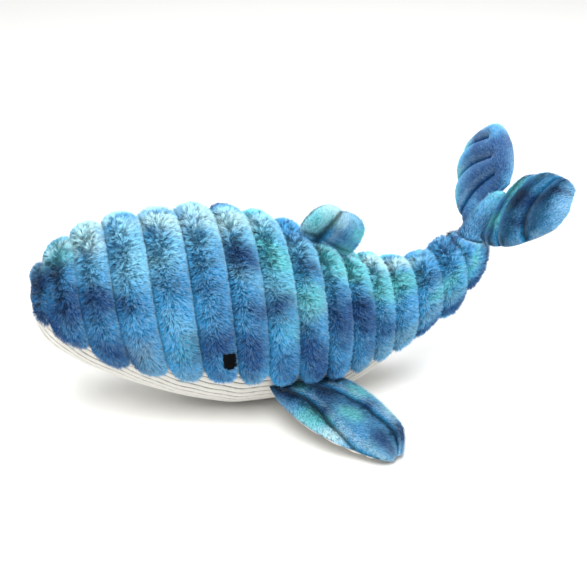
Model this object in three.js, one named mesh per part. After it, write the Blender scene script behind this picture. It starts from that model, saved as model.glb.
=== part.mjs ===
import * as THREE from 'three';

// Stuffed whale with a quilted plush back and a corduroy belly, in millimetres.
// +X runs from the head to the tail, +Z is up, and the whale's left side is at -Y.
// The origin is on the table, in the middle of the flat on which the belly rests.

// Driving dimensions of the body
const bodyLength = 404.4;
const bodyHeight = 182;
const bodyWidth = 184;
const noseReach = 210.4;
const restFlat = 0.5;

// Cloth, seams and clearances
const rollPuff = 13;
const seamDepth = 3;
const seamProud = 1.2;
const bellyCloth = 2.7;
const limbCloth = 2;
const gap = 0.3;
const tuckGap = 0.5;
const rootGap = 0.8;
const flipperRootGap = 0.1;
const limbFillGap = 1.1;
const finFillGap = 0.1;
const finRootSag = 1.2;

// Dorsal fin
const finHeight = 38;
const finLength = 52;
const finThickness = 17;

// Flippers
const flipperLength = 108;
const flipperWidth = 62;
const flipperThickness = 24;

// Flukes and the piece between them
const flukeLength = 104;
const flukeWidth = 76;
const flukeThickness = 28;
const flukeRootHeight = 50;
const flukeForward = 15;
const flukeOffset = 10;
const flukeRise = 23.3;

// Seam allowance along the edge of every limb
const limbSeam = 3.4;

// Eyes
const eyeWidth = 12.5;
const eyeHeight = 13.5;
const eyeThickness = 1.4;

// Outline of the body at the seam level. Each row holds the place along the body, crown,
// keel, half width, lowest end of the rolls, sweep of their lower ends and lean of the
// section, as shares of length, height, height, half width, half turn, length and quarter turn.
const outlineShares = [
  [0.0, 0.668, 0.59, 0.08, 0.6, 0.0, 0],
  [0.0215, 0.727, 0.44, 0.222, 0.61, 0.0, 0],
  [0.0678, 0.825, 0.305, 0.42, 0.64, 0.015, 0],
  [0.132, 0.888, 0.195, 0.585, 0.68, 0.038, 0],
  [0.2043, 0.9165, 0.118, 0.7, 0.667, 0.042, 0],
  [0.2831, 0.922, 0.06, 0.772, 0.66, 0.032, 0],
  [0.362, 0.927, 0.018, 0.834, 0.647, 0.021, 0],
  [0.4016, 0.917, 0.002, 0.846, 0.642, 0.014, 0],
  [0.4379, 0.903, 0.0, 0.846, 0.636, 0.008, 0],
  [0.5089, 0.858, 0.0, 0.82, 0.633, 0.0, 0],
  [0.5781, 0.797, 0.0, 0.77, 0.633, -0.004, 0],
  [0.6427, 0.722, 0.0, 0.66, 0.633, -0.01, 0],
  [0.7038, 0.643, 0.006, 0.533, 0.633, -0.013, 0],
  [0.7562, 0.6115, 0.064, 0.462, 0.64, -0.012, 0],
  [0.8106, 0.593, 0.155, 0.359, 0.69, -0.008, 0],
  [0.8697, 0.604, 0.316, 0.297, 0.75, 0.0, 0],
  [0.9308, 0.674, 0.397, 0.285, 0.75, 0.0, 0.03],
  [0.96, 0.712, 0.472, 0.22, 0.75, 0.0, 0.14],
  [0.99, 0.808, 0.672, 0.13, 0.75, 0.0, 0.94],
];

// Seams between the rolls, as shares of the body length from the nose
const seamShares = [
  0.004, 0.037, 0.098, 0.165, 0.2435, 0.323, 0.4016, 0.4738, 0.544, 0.612,
  0.6748, 0.733, 0.781, 0.8405, 0.8986, 0.9572, 0.988,
];

// How far each roll stands out over its seams, as a share of the fullest one
const puffShares = [
  0.62, 0.8, 0.92, 0.98, 1, 1, 1, 1, 1, 0.96, 0.9, 0.84, 0.8, 0.74, 0.7, 0.5,
];

// Rings of an open roll on one side, as shares of its reach down from the crown
const ringShares = [0.13, 0.26, 0.39, 0.52, 0.65, 0.78, 0.88];
// Its rounded lower end: reach, width and puff as shares
const endShares = [
  [0.905, 1, 0.97],
  [0.95, 0.9, 0.84],
  [0.985, 0.64, 0.58],
  [1, 0.36, 0.3],
];
const bellyEdgeShare = 0.91;
const openRolls = 13;
const finRolls = [8, 9, 10];
const finDipShare = 0.3;
const finPlaceShare = 0.53;
const rollSteps = 4;
const fullRollRings = 16;
const sweepPower = 2.5;

// Tie-dyed plush, corduroy, fibre filling and black felt
const plushColours = [0x2c62a6, 0x3577b8, 0x4b9ccb, 0x57add2, 0x3f92cf, 0x2f6cb0, 0x45a9cc];
const corduroyColour = 0xe6e5e0;
const fibreColour = 0xf2f2ef;
const feltColour = 0x14171c;
const plushRoughness = 0.95;
const corduroyRoughness = 0.9;
const fibreRoughness = 1;
const feltRoughness = 0.8;

const whale = new THREE.Group();

function addMesh(name, geometry, color, roughness) {
  const material = new THREE.MeshStandardMaterial({ color, roughness, metalness: 0 });
  const mesh = new THREE.Mesh(geometry, material);
  mesh.name = name;
  whale.add(mesh);
}

// Smooth reading of a table of shares, whose first column is the place along the piece
function curvesOf(rows) {
  const places = rows.map((row) => row[0]);
  const columns = rows[0].slice(1).map((_, column) => rows.map((row) => row[column + 1]));
  const curves = columns.map((values) => new THREE.CubicInterpolant(places, values, 1));
  return (place) => curves.map((curve) => curve.evaluate(place)[0]);
}

const readOutline = curvesOf(outlineShares);

function outlineAt(share) {
  const [crown, keel, half, reach, sweep, lean] = readOutline(share);
  return {
    middle: ((crown + keel) * bodyHeight) / 2,
    tall: ((crown - keel) * bodyHeight) / 2,
    wide: (half * bodyWidth) / 2,
    reach: reach * Math.PI,
    sweep: sweep * bodyLength,
    lean: (lean * Math.PI) / 2,
  };
}

// A point near the body's skin. Angle 0 is the crown and half a turn the keel, positive
// angles are on the whale's right, and proud is the distance out from the seam level.
function skinPoint(share, angle, proud) {
  const line = outlineAt(share);
  const low = Math.min((1 - Math.cos(angle)) / (1 - Math.cos(line.reach)), 1);
  const rise = Math.cos(angle) * (line.tall + proud);
  const height = line.middle + rise * Math.cos(line.lean);
  return new THREE.Vector3(
    bodyLength * share - noseReach + line.sweep * low ** sweepPower - rise * Math.sin(line.lean),
    Math.sin(angle) * (line.wide + proud),
    Math.max(height, restFlat) - restFlat,
  );
}

// Signed volume inside a set of faces, negative where they point inward
function signedVolume(points, faces) {
  const cross = new THREE.Vector3();
  let volume = 0;
  for (let i = 0; i < faces.length; i += 3) {
    cross.crossVectors(points[faces[i + 1]], points[faces[i + 2]]);
    volume += points[faces[i]].dot(cross);
  }
  return volume;
}

function solidGeometry(points, faces) {
  const outward = signedVolume(points, faces) < 0 ? [...faces].reverse() : faces;
  const geometry = new THREE.BufferGeometry().setFromPoints(points);
  geometry.setIndex(outward);
  geometry.computeVertexNormals();
  return geometry;
}

// One closed body through section loops of equal length, joined end to end or capped
function loopSolid(loops, joined = false) {
  const size = loops[0].length;
  const faces = [];
  const spans = joined ? loops.length : loops.length - 1;
  for (let i = 0; i < spans; i += 1) {
    const next = (i + 1) % loops.length;
    for (let j = 0; j < size; j += 1) {
      const beside = (j + 1) % size;
      const corners = [i * size + j, i * size + beside, next * size + beside, next * size + j];
      faces.push(corners[0], corners[1], corners[2], corners[0], corners[2], corners[3]);
    }
  }
  if (!joined) {
    const last = (loops.length - 1) * size;
    for (let j = 1; j < size - 1; j += 1) {
      faces.push(0, j + 1, j, last, last + j, last + j + 1);
    }
  }
  return solidGeometry(loops.flat(), faces);
}

// A thick sheet between two point functions, as loops that go out over it and back under it
function sheetSolid(stepsAlong, stepsAcross, over, under) {
  const loops = [];
  for (let i = 0; i <= stepsAlong; i += 1) {
    const loop = [];
    for (let j = 0; j <= stepsAcross; j += 1) {
      loop.push(over(i / stepsAlong, j / stepsAcross));
    }
    for (let j = stepsAcross; j >= 0; j -= 1) {
      loop.push(under(i / stepsAlong, j / stepsAcross));
    }
    loops.push(loop);
  }
  return sheetLoops(loops, stepsAcross);
}

// The same loops with both ends closed by strips between the two faces of the sheet
function sheetLoops(loops, stepsAcross) {
  const size = loops[0].length;
  const faces = [];
  for (let i = 0; i < loops.length - 1; i += 1) {
    for (let j = 0; j < size; j += 1) {
      const beside = (j + 1) % size;
      const corners = [i * size + j, i * size + beside, (i + 1) * size + beside, (i + 1) * size + j];
      faces.push(corners[0], corners[1], corners[2], corners[0], corners[2], corners[3]);
    }
  }
  const last = (loops.length - 1) * size;
  for (let j = 0; j < stepsAcross; j += 1) {
    const back = size - 1 - j;
    faces.push(j, back, back - 1, j, back - 1, j + 1);
    faces.push(last + j, last + back - 1, last + back, last + j, last + j + 1, last + back - 1);
  }
  return solidGeometry(loops.flat(), faces);
}

// Quilted rolls: plush channels stuffed round the back, each rounded off over the belly.
// The last ones close into full rings round the tail stock.
function rollSection(index, angleAt, width, puff, innerDepth) {
  const front = seamShares[index] + gap / 2 / bodyLength;
  const rear = seamShares[index + 1] - gap / 2 / bodyLength;
  const height = rollPuff * puffShares[index] * puff;
  const place = (across) => THREE.MathUtils.lerp(front, rear, 0.5 + (across - 0.5) * width);
  const section = [];
  for (let i = 0; i <= rollSteps; i += 1) {
    const turn = (Math.PI * i) / rollSteps;
    const share = place((1 - Math.cos(turn)) / 2);
    section.push(skinPoint(share, angleAt(share), seamProud + height * Math.sin(turn)));
  }
  section.push(skinPoint(place(1), angleAt(place(1)), innerDepth));
  section.push(skinPoint(place(0), angleAt(place(0)), innerDepth));
  return section;
}

function openRoll(index) {
  const upper = ringShares.map((reach) => [reach, 1, 1, -seamDepth]);
  const lower = endShares.map(([reach, width, puff]) => [reach, width, puff, tuckGap]);
  const right = [...upper, ...lower];
  const left = right.map(([reach, ...rest]) => [-reach, ...rest]).reverse();
  const crownPuff = finRolls.includes(index) ? finDipShare : 1;
  const rings = [...left, [0, 1, crownPuff, -seamDepth], ...right];
  return loopSolid(
    rings.map(([reach, ...rest]) => rollSection(index, (share) => reach * outlineAt(share).reach, ...rest)),
  );
}

function fullRoll(index) {
  const rings = [];
  for (let i = 0; i < fullRollRings; i += 1) {
    const turn = (2 * Math.PI * i) / fullRollRings;
    rings.push(rollSection(index, () => turn, 1, 1, -seamDepth));
  }
  return loopSolid(rings, true);
}

const rollCount = seamShares.length - 1;
for (let index = 0; index < rollCount; index += 1) {
  const name = `rib_${String(index + 1).padStart(2, '0')}`;
  const geometry = index < openRolls ? openRoll(index) : fullRoll(index);
  addMesh(name, geometry, plushColours[index % plushColours.length], plushRoughness);
}

// Columns of the belly panel, from its left edge to its right edge
const bellyColumnShares = [-1, -0.7, -0.4, -0.08, 0.08, 0.4, 0.7, 1];

function bellyAngle(share, column) {
  const edge = outlineAt(share).reach * bellyEdgeShare;
  return Math.PI - column * (Math.PI - edge);
}

// Angles round a section under the open rolls, the same as their rings and the belly's columns
function openAngles(share) {
  const { reach } = outlineAt(share);
  const right = ringShares.map((ring) => ring * reach);
  const left = right.map((angle) => 2 * Math.PI - angle).reverse();
  const belly = bellyColumnShares.map((column) => bellyAngle(share, -column));
  return [0, ...right, ...belly, ...left];
}

function fullAngles() {
  return Array.from({ length: fullRollRings }, (_, i) => (2 * Math.PI * i) / fullRollRings);
}

// Stuffing under the rolls, in one long piece for head and body and three for the tail
// stock, parted where the stock bends.
function fillSolid(fromSeam, toSeam, anglesAt) {
  const loops = [];
  for (let seam = toSeam; seam >= fromSeam; seam -= 1) {
    const inward = (seam === fromSeam) - (seam === toSeam);
    const share = seamShares[seam] + (inward * gap) / 2 / bodyLength;
    loops.push(anglesAt(share).map((angle) => skinPoint(share, angle, -seamDepth - gap)));
  }
  return loopSolid(loops);
}

const fills = [
  ['body_fill', 0, openRolls, openAngles],
  ['tail_fill_front', openRolls, openRolls + 1, fullAngles],
  ['tail_fill_middle', openRolls + 1, openRolls + 2, fullAngles],
  ['tail_fill_rear', openRolls + 2, openRolls + 3, fullAngles],
];
fills.forEach(([name, from, to, anglesAt]) => {
  addMesh(name, fillSolid(from, to, anglesAt), fibreColour, fibreRoughness);
});

// Corduroy belly panel, tucked under the ends of the open rolls
function bellyPoint(along, across, proud) {
  const seam = openRolls - Math.round(along * openRolls);
  const inward = (seam === 0) - (seam === openRolls);
  const share = seamShares[seam] + (inward * gap) / 2 / bodyLength;
  const column = bellyColumnShares[Math.round(across * (bellyColumnShares.length - 1))];
  return skinPoint(share, bellyAngle(share, column), proud);
}

addMesh(
  'belly_panel',
  sheetSolid(
    openRolls,
    bellyColumnShares.length - 1,
    (along, across) => bellyPoint(along, across, 0),
    (along, across) => bellyPoint(along, across, -bellyCloth),
  ),
  corduroyColour,
  corduroyRoughness,
);

// Eyes: square felt patches with soft corners on the sixth roll, beside its rear seam
const eyeRoll = 5;
const eyeAcrossShare = 0.74;
const eyeAngleShare = 0.815;
const eyeSteps = 4;
const eyeCornerShare = 0.12;

function eyePoint(side, sideways, downward, lift) {
  const front = seamShares[eyeRoll];
  const rear = seamShares[eyeRoll + 1];
  const centre = THREE.MathUtils.lerp(front, rear, eyeAcrossShare);
  const line = outlineAt(centre);
  const share = centre + (sideways * (1 - eyeCornerShare * downward ** 2) * eyeWidth) / 2 / bodyLength;
  const drop = (downward * (1 - eyeCornerShare * sideways ** 2) * eyeHeight) / 2;
  const angle = eyeAngleShare * line.reach + drop / (line.tall + rollPuff);
  const across = THREE.MathUtils.clamp((share - front) / (rear - front), 0, 1);
  const puff = rollPuff * puffShares[eyeRoll] * Math.sin(Math.acos(1 - 2 * across));
  return skinPoint(share, side * angle, seamProud + puff + lift);
}

function eyeSolid(side) {
  const face = (lift) => (i, j) => eyePoint(side, 2 * i - 1, 2 * j - 1, lift);
  return sheetSolid(eyeSteps, eyeSteps, face(gap + eyeThickness), face(gap));
}

addMesh('eye_left', eyeSolid(-1), feltColour, feltRoughness);
addMesh('eye_right', eyeSolid(1), feltColour, feltRoughness);

// Stuffed limbs: a plush top puffed between stitched channels, a second cloth below and
// a filling. Limb space runs along it from the root, across it from the leading to the
// trailing edge, and up through the top.
function limbSpace({ root, along, across, hand, sag = 0, bow = 0, camber = 0, length, width, outline }) {
  const forward = along.clone().normalize();
  const rootEdge = across.clone().normalize();
  const slant = rootEdge.dot(forward);
  const sideways = rootEdge.clone().addScaledVector(forward, -slant).normalize();
  const upward = new THREE.Vector3().crossVectors(forward, sideways).multiplyScalar(hand);
  const skew = slant / Math.sqrt(1 - slant ** 2);
  const readEdges = curvesOf(outline);
  return (s, v, height) => {
    const [lead, trail, bulk] = readEdges(s);
    const edge = THREE.MathUtils.lerp(-lead, trail, (v + 1) / 2) * (width / 2);
    const point = root.clone();
    point.addScaledVector(forward, s * length + (skew * edge - sag * v * v) * (1 - s));
    point.addScaledVector(sideways, edge + bow * s * s);
    point.addScaledVector(upward, camber * s * s + height(bulk));
    return point;
  };
}

// Half thickness of a limb, full in the middle of each channel and pinched between them.
// The channels of a limb are counted along it and across it, from a first shift, and may bow.
const channelDepthShare = 0.5;
const crownPower = 2.6;
const rootSeamShare = 0.45;
const rootTaperShare = 0.12;
const undersideShare = 0.7;
const noChannels = { along: 0, across: 0, shift: 0 };
const undersideSteps = [7, 5];

function limbRise(limb, s, v, bulk, channels) {
  const crown = Math.sqrt(Math.max(1 - Math.abs(v) ** crownPower, 0));
  const full = Math.max((limb.thickness - limbSeam) / 2, 0) * bulk * crown;
  const { along, across, bow = 0, shift } = channels ?? noChannels;
  const phase = along * s + across * v + bow * v * v + shift;
  const lobe = Math.sqrt(Math.abs(Math.sin(Math.PI * phase)));
  const seam = (limbSeam / 2) * Math.min(THREE.MathUtils.lerp(rootSeamShare, 1, s / rootTaperShare), 1);
  return seam + full * (1 - channelDepthShare + channelDepthShare * lobe);
}

function limbCloths(limb, side, [stepsAlong, stepsAcross], channels) {
  const place = limbSpace(limb);
  const spread = (share) => 2 * share - 1;
  const rise = (s, v, bulk) => limbRise(limb, s, v, bulk, channels) * (side > 0 ? 1 : limb.underShare);
  return sheetSolid(
    stepsAlong,
    stepsAcross,
    (s, column) => place(s, spread(column), (bulk) => side * rise(s, spread(column), bulk)),
    (s, column) => place(s, spread(column), (bulk) => (
      side * Math.max(rise(s, spread(column), bulk) - limbCloth, gap / 2)
    )),
  );
}

const fillInsetShare = 0.24;
const fillSteps = 6;

function limbFill(limb) {
  const place = limbSpace(limb);
  const inset = (share) => THREE.MathUtils.lerp(fillInsetShare, 1 - fillInsetShare, share);
  const spread = (share) => (2 * share - 1) * (1 - fillInsetShare);
  const inside = (rise) => Math.max(rise - limbCloth - limb.fillGap, gap);
  const over = (s, v, bulk) => inside(limbRise(limb, s, v, bulk));
  const under = (s, v, bulk) => inside(limbRise(limb, s, v, bulk) * limb.underShare);
  return sheetSolid(
    fillSteps,
    fillSteps,
    (s, column) => place(inset(s), spread(column), (bulk) => over(inset(s), spread(column), bulk)),
    (s, column) => place(inset(s), spread(column), (bulk) => -under(inset(s), spread(column), bulk)),
  );
}

// Dorsal fin, standing in the dip over the ninth to eleventh rolls and leaning back
const finOutlineShares = [
  [0, 1.1, 0.9, 0],
  [0.2, 1.16, 1, 0.62],
  [0.55, 1.08, 1.02, 1],
  [0.85, 0.84, 0.86, 0.75],
  [1, 0.5, 0.5, 0],
];

function rollCrest(index) {
  const share = (seamShares[index] + seamShares[index + 1]) / 2;
  return skinPoint(share, 0, seamProud + rollPuff * puffShares[index] * finDipShare);
}

const finFront = rollCrest(finRolls[0]);
const finRear = rollCrest(finRolls[finRolls.length - 1]);
const finBase = finRear.clone().sub(finFront).normalize();
const finUp = new THREE.Vector3(-finBase.z, 0, finBase.x);
const fin = {
  root: finFront.clone().lerp(finRear, finPlaceShare).addScaledVector(finUp, rootGap + gap + finRootSag),
  along: finUp,
  across: finBase,
  hand: -1,
  sag: finRootSag,
  length: finHeight,
  width: finLength,
  thickness: finThickness,
  underShare: 1,
  fillGap: finFillGap,
  outline: finOutlineShares,
};
const finChannels = { along: -0.08, across: 0.78, shift: 1.24 };
const finSteps = [6, 10];
const leftPanel = limbCloths(fin, 1, finSteps, finChannels);
const rightPanel = limbCloths(fin, -1, finSteps, finChannels);
addMesh('dorsal_fin_left_panel', leftPanel, plushColours[3], plushRoughness);
addMesh('dorsal_fin_right_panel', rightPanel, plushColours[4], plushRoughness);
addMesh('dorsal_fin_fill', limbFill(fin), fibreColour, fibreRoughness);

// Flippers, rooted on the belly just below the ends of the eighth to tenth rolls
const flipperShare = 0.59;
const flipperAngleShare = 0.668;
const flipperRiseShare = -0.3;
const flipperBackShare = 0.5;
const flipperBow = -6;
const flipperCamber = 4;
const flipperOutlineShares = [
  [0, 1.12, 0.95, 0],
  [0.18, 1.32, 1.08, 0.62],
  [0.5, 1.44, 1.16, 1],
  [0.8, 0.98, 0.98, 0.85],
  [0.95, 0.48, 0.48, 0.4],
  [1, 0.2, 0.22, 0],
];
const flipperChannels = { along: -0.45, across: 1.18, shift: 1.95 };
const flipperSteps = [8, 12];

function flipper(side) {
  const rootAt = (v) => {
    const share = flipperShare + (v * flipperWidth) / 2 / bodyLength;
    return skinPoint(share, side * flipperAngleShare * Math.PI, flipperRootGap);
  };
  const chord = rootAt(1).sub(rootAt(-1));
  const middle = rootAt(1).add(rootAt(-1)).multiplyScalar(0.5);
  return {
    root: rootAt(0),
    along: new THREE.Vector3(flipperBackShare, side * Math.sqrt(1 - flipperBackShare ** 2), flipperRiseShare),
    across: chord,
    hand: -side,
    sag: rootAt(0).distanceTo(middle),
    bow: flipperBow,
    camber: flipperCamber,
    length: flipperLength,
    width: flipperWidth,
    thickness: flipperThickness,
    underShare: undersideShare,
    fillGap: limbFillGap,
    outline: flipperOutlineShares,
  };
}

// Flukes, one on each side of the piece that closes the tail stock
const flukeOutlineShares = [
  [0, 0.55, 0.78, 0],
  [0.15, 0.8, 0.86, 0.6],
  [0.3, 0.96, 0.86, 0.9],
  [0.5, 1.08, 0.78, 1],
  [0.65, 1.06, 0.66, 1],
  [0.8, 0.92, 0.48, 0.85],
  [0.93, 0.66, 0.26, 0.5],
  [1, 0.34, 0.1, 0],
];
const leftFlukeChannels = { along: 2.6, across: 0, bow: -0.52, shift: 0.454 };
const rightFlukeChannels = { along: 3.2, across: 0.28, bow: -0.1, shift: -0.12 };
const flukeSteps = [16, 6];

// Unit directions of the closing piece and, mirrored for the right, of the left fluke
const closingAxis = [0.52, 0, 0.854];
const flukeAlong = [0.343, -0.798, 0.495];
const flukeRootEdge = [0.578, 0.153, 0.786];

const tailShare = seamShares[rollCount];
const tailEnd = skinPoint(tailShare, Math.PI / 2, -outlineAt(tailShare).wide);
const tailAxis = new THREE.Vector3(...closingAxis);
// Closing piece: height, width and depth as shares of its own height and of the tail's end
const closingShares = [
  [0, 1, 1],
  [0.2, 0.9, 1.06],
  [0.5, 0.69, 0.98],
  [0.8, 0.5, 0.72],
  [0.95, 0.4, 0.5],
  [1, 0.24, 0.3],
];

function closingSolid() {
  return loopSolid(closingShares.map(([height, width, depth]) => {
    const loop = [];
    for (let j = 0; j < fullRollRings; j += 1) {
      const out = skinPoint(tailShare, (2 * Math.PI * j) / fullRollRings, seamProud).sub(tailEnd);
      out.multiply(new THREE.Vector3(depth, width, depth));
      loop.push(out.add(tailEnd).addScaledVector(tailAxis, flukeRootHeight * height));
    }
    return loop;
  }));
}
addMesh('fluke_root', closingSolid(), plushColours[4], plushRoughness);

function fluke(side) {
  const mirror = new THREE.Vector3(1, -side, 1);
  return {
    root: tailEnd.clone().add(new THREE.Vector3(flukeForward, side * flukeOffset, flukeRise)),
    along: new THREE.Vector3(...flukeAlong).multiply(mirror),
    across: new THREE.Vector3(...flukeRootEdge).multiply(mirror),
    hand: -side,
    length: flukeLength,
    width: flukeWidth,
    thickness: flukeThickness,
    underShare: undersideShare,
    fillGap: limbFillGap,
    outline: flukeOutlineShares,
  };
}

const limbs = [
  ['flipper_left', flipper(-1), flipperSteps, flipperChannels, plushColours[0]],
  ['flipper_right', flipper(1), flipperSteps, flipperChannels, plushColours[0]],
  ['fluke_left', fluke(-1), flukeSteps, leftFlukeChannels, plushColours[1]],
  ['fluke_right', fluke(1), flukeSteps, rightFlukeChannels, plushColours[1]],
];
limbs.forEach(([name, limb, steps, channels, colour]) => {
  addMesh(`${name}_top`, limbCloths(limb, 1, steps, channels), colour, plushRoughness);
  addMesh(`${name}_underside`, limbCloths(limb, -1, undersideSteps), corduroyColour, corduroyRoughness);
  addMesh(`${name}_fill`, limbFill(limb), fibreColour, fibreRoughness);
});

export default whale;
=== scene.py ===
# Stuffed whale: quilted tie-dyed plush back, corduroy belly, felt eyes.
# Metres, in the frame of the CAD part: +X from head to tail, +Z up, left side at -Y.

import math

import bpy
import numpy as np
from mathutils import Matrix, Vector


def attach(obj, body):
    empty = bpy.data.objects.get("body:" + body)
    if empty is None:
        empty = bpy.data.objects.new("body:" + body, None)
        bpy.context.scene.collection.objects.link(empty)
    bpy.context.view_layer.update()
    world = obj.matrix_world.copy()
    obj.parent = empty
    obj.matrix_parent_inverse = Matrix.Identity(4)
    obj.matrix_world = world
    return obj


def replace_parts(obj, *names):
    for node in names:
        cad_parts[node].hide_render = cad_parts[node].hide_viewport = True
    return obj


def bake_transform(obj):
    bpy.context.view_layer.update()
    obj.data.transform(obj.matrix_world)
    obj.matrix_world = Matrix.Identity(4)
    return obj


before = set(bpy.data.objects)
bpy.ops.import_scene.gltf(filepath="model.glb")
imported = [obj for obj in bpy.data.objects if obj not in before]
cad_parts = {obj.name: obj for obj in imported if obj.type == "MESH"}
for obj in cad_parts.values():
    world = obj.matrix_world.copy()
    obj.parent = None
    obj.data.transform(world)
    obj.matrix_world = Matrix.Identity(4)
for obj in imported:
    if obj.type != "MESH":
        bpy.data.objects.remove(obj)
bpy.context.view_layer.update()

# Stuffed core
# The filling of head, body and tail stock, inside the navy knitted backing of the plush.
# It shows only at the bottom of the valleys, where the seams pull the cloth in.
body_length, body_height, body_width = 0.4044, 0.182, 0.184
nose_reach, rest_flat = 0.2104, 0.0005
# Places of the seams along the body; the first thirteen rolls are open below
open_rolls = 13
seam_shares = [
    0.004, 0.037, 0.098, 0.165, 0.2435, 0.323, 0.4016, 0.4738, 0.544,
    0.612, 0.6748, 0.733, 0.781, 0.8405, 0.8986, 0.9572, 0.988,
]
# Place along the body, crown, keel, half width, reach and sweep of the rolls, lean
outline_shares = [
    [0.0, 0.668, 0.59, 0.08, 0.6, 0.0, 0],
    [0.0215, 0.727, 0.44, 0.222, 0.61, 0.0, 0],
    [0.0678, 0.825, 0.305, 0.42, 0.64, 0.015, 0],
    [0.132, 0.888, 0.195, 0.585, 0.68, 0.038, 0],
    [0.2043, 0.9165, 0.118, 0.7, 0.667, 0.042, 0],
    [0.2831, 0.922, 0.06, 0.772, 0.66, 0.032, 0],
    [0.362, 0.927, 0.018, 0.834, 0.647, 0.021, 0],
    [0.4016, 0.917, 0.002, 0.846, 0.642, 0.014, 0],
    [0.4379, 0.903, 0.0, 0.846, 0.636, 0.008, 0],
    [0.5089, 0.858, 0.0, 0.82, 0.633, 0.0, 0],
    [0.5781, 0.797, 0.0, 0.77, 0.633, -0.004, 0],
    [0.6427, 0.722, 0.0, 0.66, 0.633, -0.01, 0],
    [0.7038, 0.643, 0.006, 0.533, 0.633, -0.013, 0],
    [0.7562, 0.6115, 0.064, 0.462, 0.64, -0.012, 0],
    [0.8106, 0.593, 0.155, 0.359, 0.69, -0.008, 0],
    [0.8697, 0.604, 0.316, 0.297, 0.75, 0.0, 0],
    [0.9308, 0.674, 0.397, 0.285, 0.75, 0.0, 0.03],
    [0.96, 0.712, 0.472, 0.22, 0.75, 0.0, 0.14],
    [0.99, 0.808, 0.672, 0.13, 0.75, 0.0, 0.94],
]


def curve_through(rows):
    """A smooth reading of a table whose first column is the place along the piece."""
    table = np.array(rows, float)
    knots, values = table[:, 0], table[:, 1:]

    def read(place):
        place = np.clip(np.asarray(place, float), knots[0], knots[-1])
        after = np.clip(np.searchsorted(knots, place, side="right"), 1, len(knots) - 1)
        before = after - 1
        t0, t1 = knots[before], knots[after]
        early = np.where(before > 0, before - 1, after)
        late = np.where(after < len(knots) - 1, after + 1, before)
        w0 = (t1 - t0) / 2 / (t0 - knots[early])
        w1 = (t1 - t0) / 2 / (knots[late] - t1)
        p = (place - t0) / (t1 - t0)
        shares = (
            (early, -w0 * p**3 + 2 * w0 * p**2 - w0 * p),
            (before, (1 + w0) * p**3 + (-1.5 - 2 * w0) * p**2 + (w0 - 0.5) * p + 1),
            (after, (-1 - w1) * p**3 + (1.5 + w1) * p**2 + 0.5 * p),
            (late, w1 * p**3 - w1 * p**2),
        )
        return sum(values[at] * share[..., None] for at, share in shares)

    return read


outline_at = curve_through(outline_shares)


def reach_at(share):
    """Angle from the crown at which the rolls end, in radians."""
    return outline_at(share)[..., 3] * math.pi


def skin(share, angle, proud):
    """Points near the body's skin; angle 0 is the crown, negative ones are on the left."""
    crown, keel, half, reach, sweep, lean = np.moveaxis(outline_at(share), -1, 0)
    # The sweep of the rolls grows towards their lower ends
    low = np.minimum((1 - np.cos(angle)) / (1 - np.cos(reach * math.pi)), 1)
    rise = np.cos(angle) * ((crown - keel) * body_height / 2 + proud)
    lean = lean * math.pi / 2
    x = body_length * (share + sweep * low**2.5) - nose_reach - rise * np.sin(lean)
    y = np.sin(angle) * (half * body_width / 2 + proud)
    z = (crown + keel) * body_height / 2 + rise * np.cos(lean)
    x, y, z = np.broadcast_arrays(x, y, np.maximum(z, rest_flat) - rest_flat)
    return np.stack([x, y, z], -1)


def shell(name, loops, joined=False, **fields):
    """A closed mesh through section loops, with fields of numbers or vectors on its points."""
    rows, columns = loops.shape[:2]
    index = np.arange(rows * columns).reshape(rows, columns)
    near, far = (index, np.roll(index, -1, 0)) if joined else (index[:-1], index[1:])
    quads = np.stack([near, np.roll(near, -1, 1), np.roll(far, -1, 1), far], -1)
    points, faces = loops.reshape(-1, 3), quads.reshape(-1, 4).tolist()
    row, column = np.indices(near.shape)
    across = np.stack([column, column + 1, column + 1, column], -1) / columns
    along = np.stack([row, row, row + 1, row + 1], -1) + 1
    skin_map = np.stack([along / (rows + 1), across], -1).reshape(-1, 2)
    values = {key: field.reshape(rows * columns, -1) for key, field in fields.items()}
    if not joined:
        for last, ring, section in ((0, index[0], 1), (1, index[-1], rows)):
            centre = len(points)
            points = np.vstack([points, points[ring].mean(0)])
            for j in range(columns):
                pair = (ring[j], ring[(j + 1) % columns])
                a, b = pair if last else pair[::-1]
                faces.append([centre, int(a), int(b)])
                turn = (j, j + 1) if last else (j + 1, j)
                corners = [[last, (j + 0.5) / columns]]
                corners += [[section / (rows + 1), t / columns] for t in turn]
                skin_map = np.vstack([skin_map, corners])
            for key in values:
                values[key] = np.vstack([values[key], values[key][ring].mean(0)])
    corner = np.array([f[:3] for f in faces])
    fourth = np.array([[f[0], f[2], f[-1]] for f in faces])
    volume = sum(
        np.einsum("ij,ij->", points[t[:, 0]], np.cross(points[t[:, 1]], points[t[:, 2]]))
        for t in (corner, fourth)
    )
    sizes = np.array([len(f) for f in faces])
    if volume < 0:
        faces = [f[::-1] for f in faces]
        starts = np.repeat(np.cumsum(sizes) - sizes, sizes)
        places = np.arange(len(skin_map)) - starts
        skin_map = skin_map[starts + np.repeat(sizes, sizes) - 1 - places]
    mesh = bpy.data.meshes.new(name)
    mesh.from_pydata(points.tolist(), [], faces)
    for key, value in values.items():
        kind = "FLOAT" if value.shape[1] == 1 else "FLOAT_VECTOR"
        attribute = mesh.attributes.new(key, kind, "POINT")
        stored = "value" if kind == "FLOAT" else "vector"
        attribute.data.foreach_set(stored, value.astype(np.float32).ravel())
    layer = mesh.uv_layers.new(name="OFBake")
    layer.uv.foreach_set("vector", skin_map.astype(np.float32).ravel())
    mesh.shade_smooth()
    made = bpy.data.objects.new(name, mesh)
    bpy.context.scene.collection.objects.link(made)
    return made


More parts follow.
